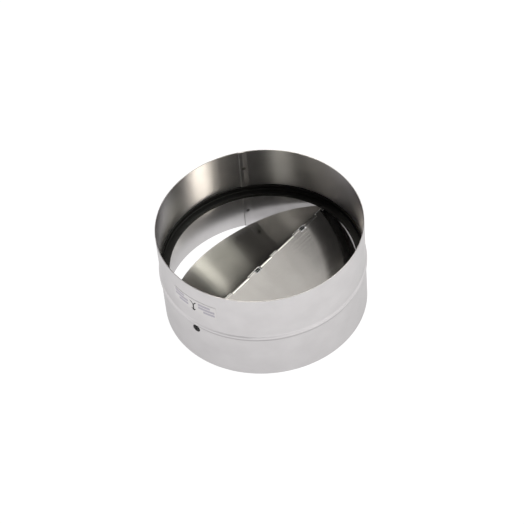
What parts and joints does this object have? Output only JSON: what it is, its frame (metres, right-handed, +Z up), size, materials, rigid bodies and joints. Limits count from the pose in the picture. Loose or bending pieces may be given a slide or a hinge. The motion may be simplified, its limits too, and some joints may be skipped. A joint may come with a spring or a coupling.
{
  "type": "duct backdraft damper",
  "caption": "Round sheet-metal duct backdraft damper: short tube with a mid bead, black sealing ring inside and half-round sprung blades on a hinge pin across the bore.",
  "frame": {"origin": "centre of the casing's lower rim, on the surface that it stands on", "axes": "+Z up along the duct axis against the airflow, +X along the hinge pin from the front bush to the rear bush, +Y to the left blade"},
  "size_m": [0.151, 0.151, 0.0775],
  "materials": {
    "casing_sheet": "satin rolled galvanised sheet",
    "seal_rubber": "matte black moulded rubber",
    "pin_steel": "drawn bright steel rod",
    "bush_plastic": "black moulded nylon",
    "blade_sheet": "mill finish sheet, half bright",
    "spring_wire": "drawn spring wire, oiled dark"
  },
  "bodies": {
    "casing": {"casing": "casing_sheet", "sealing_ring": "seal_rubber", "hinge_pin": "pin_steel", "front_bush": "bush_plastic", "rear_bush": "bush_plastic", "centre_spring": "spring_wire", "rear_spring": "spring_wire"},
    "left_blade": {"left_blade": "blade_sheet"},
    "right_blade": {"right_blade": "blade_sheet"}
  },
  "joints": [
    {"name": "left_blade_swing", "type": "hinge", "parent": "casing", "child": "left_blade", "pos_m": [0, 0, 0.03325], "axis": [-1, 0, 0], "range_deg": [-27.95, 48.05], "stiffness_Nm_per_rad": 0.00484, "springref_deg": -27.95, "deforming": ["centre_spring", "rear_spring"]},
    {"name": "right_blade_swing", "type": "hinge", "parent": "casing", "child": "right_blade", "pos_m": [0, 0, 0.03325], "axis": [1, 0, 0], "range_deg": [-19, 57], "stiffness_Nm_per_rad": 0.00763, "springref_deg": -19}
  ]
}
